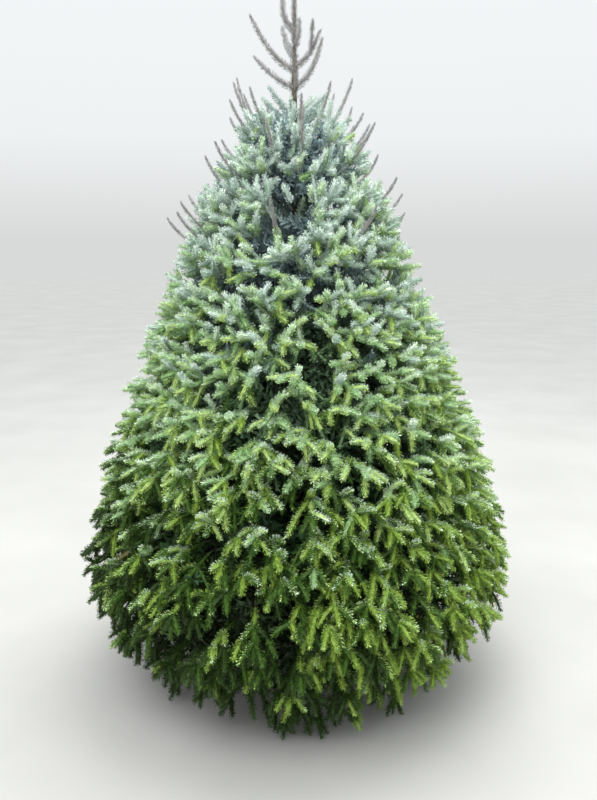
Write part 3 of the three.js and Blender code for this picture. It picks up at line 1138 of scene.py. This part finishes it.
def unit(vectors):
    return vectors / np.maximum(np.linalg.norm(vectors, axis=-1, keepdims=True), 1e-9)


def sideways(along):
    """For each of many directions: one that lies level across it, and one across both."""
    across = unit(np.cross(along, UP) + TINY)
    return across, np.cross(across, along)


def shoot_arrays(group):
    """The shoots' starts, bends and ends as arrays."""
    return [np.array([getattr(shoot, name)[:] for shoot in group]) for name in ("start", "bend", "end")]


def curve_arrays(start, bend, end, share):
    """Places on many curves, and the way that each curve runs there."""
    share = share[:, None]
    along = unit((1 - share) * (bend - start) + share * (end - bend))
    return curve_point(start, bend, end, share), along


def tube_mesh(starts, bends, ends, profile, sides=3):
    """Places and triangles of closed tubes along many curves, from rows of share and radius."""
    rings = []
    for at, radius in profile:
        place, along = curve_arrays(starts, bends, ends, np.full(len(starts), at))
        across, above = sideways(along)
        radius = np.broadcast_to(radius, len(starts))[:, None]
        for side in range(sides):
            angle = 2 * math.pi * side / sides
            rings.append(place + (across * math.cos(angle) + above * math.sin(angle)) * radius)
    vertices = np.stack(rings, axis=1)
    pattern = []
    last = (len(profile) - 1) * sides
    for ring in range(0, last, sides):
        for side in range(sides):
            a = ring + side
            b = ring + (side + 1) % sides
            pattern += [(a, b, b + sides), (a, b + sides, a + sides)]
    for side in range(1, sides - 1):
        pattern += [(0, side + 1, side), (last, last + side, last + side + 1)]
    triangles = np.array(pattern)[None] + (np.arange(len(starts)) * vertices.shape[1])[:, None, None]
    return vertices.reshape(-1, 3), triangles.reshape(-1, 3)


print("array helpers ready")

# %% Needle styles
BLUNT_SHARE = 0.5
TWIST = math.radians(40)
BUD_SHARE = 0.84
BUD_SHORTER = 0.35
FEWEST_NEEDLES = 4
TURN_SPREAD = 0.15
LEAN_SPREAD = 4
NEEDLE_SIZES = (0.9, 1.06)
NEEDLE_SEED = 24
STYLES = {
    "leafy": dict(per_metre=1320, length=0.0117, width=0.0044, lean=(58, 46), brush=0.04),
    "shaded": dict(per_metre=580, length=0.0135, width=0.0058, lean=(58, 46), brush=0.04),
    "pressed": dict(per_metre=2300, length=0.0125, width=0.003, lean=(52, 30), brush=0),
    "spike": dict(per_metre=1700, length=0.0095, width=0.0026, lean=(42, 26), brush=0),
    "inner": dict(per_metre=150, length=0.033, width=0.0135, lean=(68, 42), brush=0),
    "inner_top": dict(per_metre=380, length=0.021, width=0.009, lean=(64, 44), brush=0),
}
random_numbers = np.random.default_rng(NEEDLE_SEED)


def needle_corners(group, per_metre, length, width, lean, brush):
    """For each needle: its corners, its shoot, how far upwards it points, and its place along the shoot."""
    start, bend, end = shoot_arrays(group)
    sizes = np.array([shoot.length for shoot in group])
    counts = np.maximum((sizes * per_metre).astype(int), FEWEST_NEEDLES)
    owner = np.repeat(np.arange(len(group)), counts)
    first = np.cumsum(counts) - counts
    index = np.arange(len(owner)) - first[owner]
    share = (index + random_numbers.random(len(owner))) / counts[owner]
    place, along = curve_arrays(start[owner], bend[owner], end[owner], share)
    radii = np.array([shoot.radii for shoot in group])[owner]
    across, above = sideways(along)
    turn = index * GOLDEN_ANGLE + random_numbers.normal(0, TURN_SPREAD, len(owner))
    spoke = np.cos(turn)[:, None] * across + np.sin(turn)[:, None] * above
    place = place + spoke * between(radii[:, :1], radii[:, 1:], share[:, None])
    lean_here = lean[0] + (lean[1] - lean[0]) * share
    from_axis = np.radians(lean_here + random_numbers.normal(0, LEAN_SPREAD, len(owner)))
    dome = np.clip((share - BUD_SHARE) / (1 - BUD_SHARE), 0, 1)
    from_axis *= np.sqrt(1 - dome)
    points = np.cos(from_axis)[:, None] * along + np.sin(from_axis)[:, None] * spoke
    points = unit(points + brush * above)
    size = length * random_numbers.uniform(*NEEDLE_SIZES, len(owner)) * (1 - BUD_SHORTER * dome)
    flat = unit(np.cross(points, spoke) + TINY)
    twist = random_numbers.uniform(-TWIST, TWIST, len(owner))[:, None]
    flat = unit(flat * np.cos(twist) + np.cross(points, flat) * np.sin(twist))
    tip = place + points * size[:, None]
    blunt = (random_numbers.random(len(owner)) < BLUNT_SHARE)[:, None]
    wide, narrow = np.where(blunt, tip, place), np.where(blunt, place, tip)
    corners = np.stack([wide - flat * width / 2, wide + flat * width / 2, narrow], axis=1)
    return corners, owner, spoke[:, 2], share


print("needle styles", len(STYLES))

# %% [markdown]
# Cores
# Real needles stand so close that no light comes through a lit shoot. A slim core under the needles closes
# it with far fewer triangles than more needles would need. It swells towards the shoot's end and rounds off
# there, and its faces are tinted with the needles, so it reads as the needles' own shade.

# %% Cores and what each style wears
CORE_SIDES = 4
CORES = {
    "leafy": [(0, 0.005), (0.6, 0.0074), (1.0, 0.003)],
    "shaded": [(0, 0.0045), (1, 0.0052)],
}
INNER_TOP_FROM = 1.25
SHADED_DEPTH = 0.088
SHADED_FROM = 1.45
INNER_DEPTH = 0.17


def core_corners(group, profile):
    """The core's faces, with the same values as for the needles."""
    vertices, triangles = tube_mesh(*shoot_arrays(group), profile, CORE_SIDES)
    corners = vertices[triangles]
    upward = unit(np.cross(corners[:, 1] - corners[:, 0], corners[:, 2] - corners[:, 0]))[:, 2]
    owner = np.repeat(np.arange(len(group)), len(triangles) // len(group))
    start, _, end = (places[owner] for places in shoot_arrays(group))
    along = ((corners.mean(axis=1) - start) * (end - start)).sum(axis=1)
    return corners, owner, upward, along / ((end - start) ** 2).sum(axis=1)


def dressed(*names):
    """All shoots of some styles, and their needles' and cores' values as joined arrays."""
    group, made = [], []
    for name in names:
        faces = [needle_corners(styled[name], **STYLES[name])]
        if name in CORES:
            faces.append(core_corners(styled[name], CORES[name]))
        made += [(corners, owner + len(group), upward, share) for corners, owner, upward, share in faces]
        group += styled[name]
        print(name, "shoots", len(styled[name]), "faces", sum(len(row[0]) for row in faces))
    return group, [np.concatenate(row) for row in zip(*made)]


for shoot in shoots:
    if shoot.style == "inner" and shoot.end.z > INNER_TOP_FROM:
        shoot.style = "inner_top"
    depth = skin_depth(shoot.end)
    if shoot.style == "leafy" and depth > SHADED_DEPTH:
        shoot.style = "shaded" if depth < INNER_DEPTH or shoot.end.z > SHADED_FROM else "inner"
leader_heights = (CREST_HEIGHT - 0.02, (CREST_HEIGHT + TREE_HEIGHT) / 2, TREE_HEIGHT - 0.006)
leader_line = [around_trunk(0, 0, height) for height in leader_heights]
leader_top = Shoot(None, *leader_line, 0, "pressed", (CREST_RADIUS, TIP_RADIUS))
shoots += [*spikes, *leader_twigs, leader_top]
styled = {name: [shoot for shoot in shoots if shoot.style == name] for name in STYLES}
leafy, (corners, owner, upward, share) = dressed("leafy", "shaded")
_, (pressed_corners, *_) = dressed("pressed", "spike")
inner, (inner_corners, inner_owner, *_) = dressed("inner", "inner_top")

# %% [markdown]
# Tints dealt out by shoot and by needle
# A pale grey bloom lies on the upper side and the round tip of each shoot, and the upper side and the rising
# shoots are also painted paler, as a painted highlight from the sky above. Hanging shoots are yellow-green
# and the top of the crown is bluer. The hem and the inside are painted a deep green as painted shade, darkest
# deep in the crown and on the low left flank, and the lit right flank is painted paler. A pattern in a shader
# would slide over such fine leaves, so each tint is a finish of its own, and each needle is dealt to one of
# them. The shoot's place and chance pick three tints, and the needle takes a paler one the more it points
# upwards, as bloom and painted highlight.

# %% Tints
TINTS = {  # the darker and the paler colour of a needle, and its slot
    "frost": ("c6d6c8", "e6f0e4", "needles_blue"),
    "silver_blue": ("b8c8bf", "dae6de", "needles_blue"),
    "silver_sage": ("b2c8ac", "d6e8ce", "needles_sage"),
    "pale_blue": ("9ab0a2", "bed0c0", "needles_blue"),
    "pale_green": ("98b680", "bed6a2", "needles_sage"),
    "blue_green": ("809888", "a2baa4", "needles_blue"),
    "slate": ("6a7e82", "869896", "needles_blue"),
    "mid_green": ("749660", "9abc82", "needles_green"),
    "lime": ("8eaa58", "b6ce7e", "needles_fresh"),
    "leaf_green": ("6c8a32", "90ac4c", "needles_fresh"),
    "moss": ("527048", "729066", "needles_green"),
    "deep": ("34521a", "4e6e28", "needles_green"),
    "dim": ("22360c", "35501a", "needles_green"),
    "dry": ("5a5e32", "747646", "needles_fresh"),
}
NUMBER = {name: i for i, name in enumerate(TINTS)}
BLUE_FROM = 0.55
BLUE_TO = 0.95
SLATE_FROM = 0.88
LOW_UNDER = 0.43
BLOOM_HIGHLIGHT_FROM = 0.39
MOSS_UNDER = 0.64
DRY_UNDER = 0.3
DRY_SHARE = 0.003
HANGING = -0.35
PALER_FROM = [0.08, 0.32, 0.95]
UPWARD_BLOOM_AND_HIGHLIGHT = 0.6
TIP_SILVER = 0.25
TIP_FROM = 0.6
STRAY_SILVER = 0.03


def shoot_tints(group):
    """For each shoot: its three tints, how pale its bloom and painted light make it, and the palest step that
    it may reach.
    """
    count = len(group)
    chance = random_numbers.random(count)
    starts, _, ends = shoot_arrays(group)
    ways = unit(ends - starts)
    rise = ends[:, 2] / CREST_HEIGHT + random_numbers.normal(0, 0.05, count)
    # Painted light and shade by side: shoots on the lit right flank take more yellow-green, and those on the
    # left more deep green.
    lit_side = ends[:, 0] / np.maximum([crown_radius(height) for height in ends[:, 2]], 0.1)
    hanging = ways[:, 2] < HANGING
    low = rise + random_numbers.normal(0, 0.06, count) < LOW_UNDER
    blue = random_numbers.random(count) < (rise - BLUE_FROM) / (BLUE_TO - BLUE_FROM)
    # Painted shade: low shoots take the darkest green, the more the lower and the further left they are.
    dim = low & (random_numbers.random(count) < 0.45 - 0.5 * lit_side - 3 * (rise - 0.15))
    shaded = np.array([shoot.style == "shaded" for shoot in group])
    under = np.full(count, "mid_green", "<U12")
    under[(chance < 0.4 + 0.3 * lit_side) | (hanging & (chance < 0.85))] = "lime"
    under[low] = np.where(chance[low] < 0.5 + 0.35 * lit_side[low], "leaf_green", "deep")
    under[dim] = "dim"
    under[blue & (chance > 0.12)] = "blue_green"
    under[(rise > SLATE_FROM) & (chance > 0.08)] = "slate"
    under[(rise < DRY_UNDER) & (chance > 1 - DRY_SHARE)] = "dry"
    # Painted shade: shoots deep inside the crown take darker tints, deep, moss or slate by height.
    under[shaded] = np.where(rise < LOW_UNDER, "deep", np.where(rise < MOSS_UNDER, "moss", "slate"))[shaded]
    under[shaded & dim] = "dim"
    kinds = [blue, dim, low]
    middle = np.select(kinds, ["pale_blue", "deep", "lime"], "pale_green")
    kinds[2] = low & hanging
    upper = np.select(kinds, ["silver_blue", "leaf_green", "pale_green"], "silver_sage")
    # How pale a shoot runs: bloom, which is also a painted highlight where the crown is higher and where the
    # shoot rises towards the sky. Painted shade makes shaded shoots and low left-flank shoots less pale.
    bloom_and_painted_light = 0.8 * np.clip(rise - 0.5, -1, 0.3) + 0.5 * np.clip(ways[:, 2], -1, 0.3)
    bloom_and_painted_light += random_numbers.normal(0, 0.22, count) - 0.5 * shaded - 0.2 * dim + 0.15 * (low & ~hanging)
    steps = [np.array([NUMBER[name] for name in names]) for names in (under, middle, upper)]
    return np.stack(steps, axis=1), bloom_and_painted_light, np.where(rise < BLOOM_HIGHLIGHT_FROM, 2, 3)


def face_tints(steps, bloom_and_painted_light, palest, owner, upward, share):
    """The number of each face's tint: paler step by step towards the upper side, as bloom and painted
    highlight, and towards the tip.
    """
    # Painted highlight together with bloom: faces that point upwards take paler tints.
    face_bloom_and_painted_light = bloom_and_painted_light[owner] + UPWARD_BLOOM_AND_HIGHLIGHT * upward
    face_bloom_and_painted_light += TIP_SILVER * np.clip((share - TIP_FROM) / (1 - TIP_FROM), 0, 1)
    face_bloom_and_painted_light += random_numbers.normal(0, STRAY_SILVER, len(owner))
    step = np.minimum(np.digitize(face_bloom_and_painted_light, PALER_FROM), palest[owner])
    tint = np.where(step < 3, steps[owner, np.minimum(step, 2)], NUMBER["frost"])
    return np.where(steps[owner, 0] == NUMBER["dry"], NUMBER["dry"], tint)


tint = face_tints(*shoot_tints(leafy), owner, upward, share)
print("tints", len(np.unique(tint)))

# %% [markdown]
# The needles' finish
# A needle is waxy: it has a soft sheen and no mirror-like gloss. Its colour wanders a little between a
# darker and a paler tone from place to place, as it does between neighbouring twigs. All needles of one tint
# become one mesh, because a tree of separate needles could not be handled. The old ones inside the crown get
# five painted shades by height: painted deep shade in the hem, paler upwards, to a blue-grey at the crest
# that paints the sky light shining in there.

# %% Needle finishes and pieces
PIECE_TRIANGLES = 190000
TONES_PER_METRE = 90
PRESSED_COLOURS = ("8e9092", "b8bab8")
# Painted shade of the needles inside the crown, darkest in the hem and paler upwards, where painted sky light
# lifts it.
SHADES = [
    ("shade_low", 0, 0.6, ("182810", "283c1c")),
    ("shade_middle", 0.6, 1.0, ("2c462c", "40603a")),
    ("shade_high", 1.0, 1.4, ("546e54", "6e8a6a")),
    ("shade_top", 1.4, 1.74, ("64787a", "869a9c")),
    ("shade_crest", 1.74, TREE_HEIGHT, ("8a9ea2", "a8bcc0")),
]


def needle_material(name, dark, light):
    finish = Finish(name, Roughness=0.55, Specular_IOR_Level=0.3)
    tone = finish.noise(TONES_PER_METRE, 2)
    base = finish.ramp(tone, (0.36, colour(dark)), (0.64, colour(light)))
    return finish.set(Base_Color=base, Roughness=tone * 0.2 + 0.45)


def mesh_from_arrays(name, vertices, triangles):
    """One mesh object from an array of places and an array of corner numbers."""
    mesh = bpy.data.meshes.new(name)
    mesh.vertices.add(len(vertices))
    mesh.vertices.foreach_set("co", vertices.astype(np.float32).ravel())
    mesh.loops.add(triangles.size)
    mesh.loops.foreach_set("vertex_index", triangles.astype(np.int32).ravel())
    mesh.polygons.add(len(triangles))
    mesh.polygons.foreach_set("loop_start", np.arange(0, triangles.size, 3, dtype=np.int32))
    mesh.update(calc_edges=True)
    piece = bpy.data.objects.new(name, mesh)
    bpy.context.scene.collection.objects.link(piece)
    return piece


def needle_pieces(name, corners, colours, nodes):
    """The needles of one tint, in as many pieces as their number asks for."""
    material = needle_material("needles_" + name, *colours)
    count = math.ceil(len(corners) / PIECE_TRIANGLES)
    for number, part in enumerate(np.array_split(corners, count), 1):
        triangles = np.arange(3 * len(part)).reshape(-1, 3)
        piece = mesh_from_arrays(f"needles_{name}_{number}", part.reshape(-1, 3), triangles)
        stands_for(piece, material, nodes)


def masses(group, owner):
    """The names of the model's masses that some needles belong to."""
    return sorted({"foliage_" + group[i].space.name for i in np.unique(owner)})


for name, (dark, light, slot_name) in TINTS.items():
    mine = tint == NUMBER[name]
    needle_pieces(name, corners[mine], (dark, light), masses(leafy, owner[mine]))
needle_pieces("pressed", pressed_corners, PRESSED_COLOURS, leader_nodes)
inner_heights = np.array([shoot.end.z for shoot in inner])[inner_owner]
for name, lowest, highest, colours in SHADES:
    mine = (inner_heights >= lowest) & (inner_heights < highest)
    needle_pieces(name, inner_corners[mine], colours, masses(inner, inner_owner[mine]))

# %% [markdown]
# Twigs from arrays
# The wood of a leafy shoot is hidden, so none is made there. It shows on the old twigs inside the crown, on
# the branches that lead out to the sprays, and on the spikes. Each is a slim closed tube of three to five
# sides, thicker where it is older, and the youngest twigs are cones.

# %% Twig arrays
YOUNG_TWIG_RADIUS = 0.0016
TWIG_TAPER = 0.0011
OLD_TWIG = [(0, 0.0014, 0.7), (1, 0.0012, 0.55)]
BRANCH_RADII = (0.0055, 0.0044)
BRANCH_RINGS = 4
BRANCH_SIDES = 4
SPIKE_RINGS = 7
SPIKE_SIDES = 5


def cone_mesh(starts, ends, radius):
    """Places and triangles of slim closed cones, for the youngest twigs."""
    across, above = sideways(unit(ends - starts))
    turns = [2 * math.pi * side / 3 for side in range(3)]
    corners = [starts + (across * math.cos(turn) + above * math.sin(turn)) * radius for turn in turns]
    vertices = np.stack([*corners, ends], axis=1)
    pattern = np.array([(0, 1, 3), (1, 2, 3), (2, 0, 3), (0, 2, 1)])
    triangles = (pattern[None] + 4 * np.arange(len(starts))[:, None, None]).reshape(-1, 3)
    return vertices.reshape(-1, 3), triangles


def ring_rows(first, last, count):
    """Evenly spaced rows of share and radius for a tube."""
    return [(at, between(first, last, at)) for at in np.linspace(0, 1, count)]


def both(first, second):
    """Two meshes' places and triangles as one."""
    return np.concatenate([first[0], second[0]]), np.concatenate([first[1], second[1] + len(first[0])])


start, _, end = shoot_arrays([shoot for shoot in inner if shoot.age == 0])
cones = cone_mesh(start, end, YOUNG_TWIG_RADIUS)
old = [shoot for shoot in inner if shoot.age > 0]
ages = np.array([shoot.age for shoot in old])
old_profile = [(at, radius + TWIG_TAPER * ages * share) for at, radius, share in OLD_TWIG]
old_twigs = tube_mesh(*shoot_arrays(old), old_profile)
spike_rings = ring_rows(*np.array([shoot.radii for shoot in spikes]).T, SPIKE_RINGS)
branch_rings = ring_rows(*BRANCH_RADII, BRANCH_RINGS)
wood = {
    "twigs": (both(cones, old_twigs), twig_bark),
    "spikes_bark": (tube_mesh(*shoot_arrays(spikes), spike_rings, SPIKE_SIDES), pale_bark),
    "branches": (tube_mesh(*shoot_arrays(feeders), branch_rings, BRANCH_SIDES), twig_bark),
}
for name, (mesh, material) in wood.items():
    stands_for(mesh_from_arrays(name, *mesh), material, foliage_nodes)
